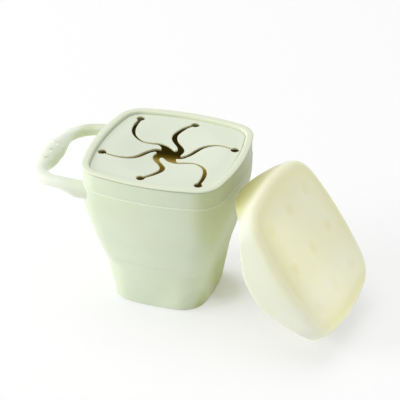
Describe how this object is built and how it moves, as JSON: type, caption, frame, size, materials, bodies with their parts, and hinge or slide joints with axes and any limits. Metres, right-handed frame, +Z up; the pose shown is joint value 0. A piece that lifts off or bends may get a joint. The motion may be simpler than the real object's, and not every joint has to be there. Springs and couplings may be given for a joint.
{
  "type": "toddler snack container",
  "caption": "Folding square silicone snack cup with a loop handle, a lid of springy star-cut flaps, and a separate dust cover leaning on it.",
  "frame": {"origin": "centre of the base's underside, on the table", "axes": "+Z up, the handle towards -X, the dust cover at +X"},
  "size_m": [0.192, 0.1031, 0.0913],
  "materials": {
    "cup_silicone": "matt soft silicone, pale sage green",
    "fold_silicone": "matt thin silicone wall, pale sage green",
    "handle_silicone": "matt soft silicone, pale sage green",
    "lid_silicone": "satin soft silicone, pale sage green",
    "cover_silicone": "milky translucent silicone, pale cream green"
  },
  "bodies": {
    "cup": {"upper_cup": "cup_silicone", "handle": "handle_silicone", "fold_ring": "fold_silicone"},
    "base": {"lower_cup": "cup_silicone"},
    "lid": {"snack_lid": "lid_silicone"},
    "flap_1": {"petal_1": "lid_silicone"},
    "flap_2": {"petal_2": "lid_silicone"},
    "flap_3": {"petal_3": "lid_silicone"},
    "flap_4": {"petal_4": "lid_silicone"},
    "flap_5": {"petal_5": "lid_silicone"},
    "flap_6": {"petal_6": "lid_silicone"},
    "dust_cover": {"cover": "cover_silicone"}
  },
  "joints": [
    {"name": "collapse", "type": "slide", "parent": "cup", "child": "base", "axis": [0, 0, 1], "range_m": [0, 0.029], "deforming": ["fold_ring"]},
    {"name": "lid_lift", "type": "slide", "parent": "cup", "child": "lid", "axis": [0, 0, 1], "range_m": [0, 0.04]},
    {"name": "flap_1_swing", "type": "hinge", "parent": "lid", "child": "flap_1", "pos_m": [-0.0287, 0.0312, 0.0887], "axis": [0.9962, 0.087, 0], "range_deg": [-45, 60], "stiffness_Nm_per_rad": 0.02},
    {"name": "flap_2_swing", "type": "hinge", "parent": "lid", "child": "flap_2", "pos_m": [0.0045, 0.0341, 0.0887], "axis": [0.8321, -0.5547, 0], "range_deg": [-45, 60], "stiffness_Nm_per_rad": 0.02},
    {"name": "flap_3_swing", "type": "hinge", "parent": "lid", "child": "flap_3", "pos_m": [0.0357, 0.0133, 0.0887], "axis": [-0.1554, -0.9879, 0], "range_deg": [-45, 60], "stiffness_Nm_per_rad": 0.02},
    {"name": "flap_4_swing", "type": "hinge", "parent": "lid", "child": "flap_4", "pos_m": [0.0287, -0.0312, 0.0887], "axis": [-0.9962, -0.087, 0], "range_deg": [-45, 60], "stiffness_Nm_per_rad": 0.02},
    {"name": "flap_5_swing", "type": "hinge", "parent": "lid", "child": "flap_5", "pos_m": [-0.0045, -0.0341, 0.0887], "axis": [-0.8321, 0.5547, 0], "range_deg": [-45, 60], "stiffness_Nm_per_rad": 0.02},
    {"name": "flap_6_swing", "type": "hinge", "parent": "lid", "child": "flap_6", "pos_m": [-0.0357, -0.0133, 0.0887], "axis": [0.1554, 0.9879, 0], "range_deg": [-45, 60], "stiffness_Nm_per_rad": 0.02},
    {"name": "cover_pull", "type": "slide", "parent": "cup", "child": "dust_cover", "axis": [0.8174, -0.0543, 0.5736], "range_m": [0, 0.08]}
  ]
}
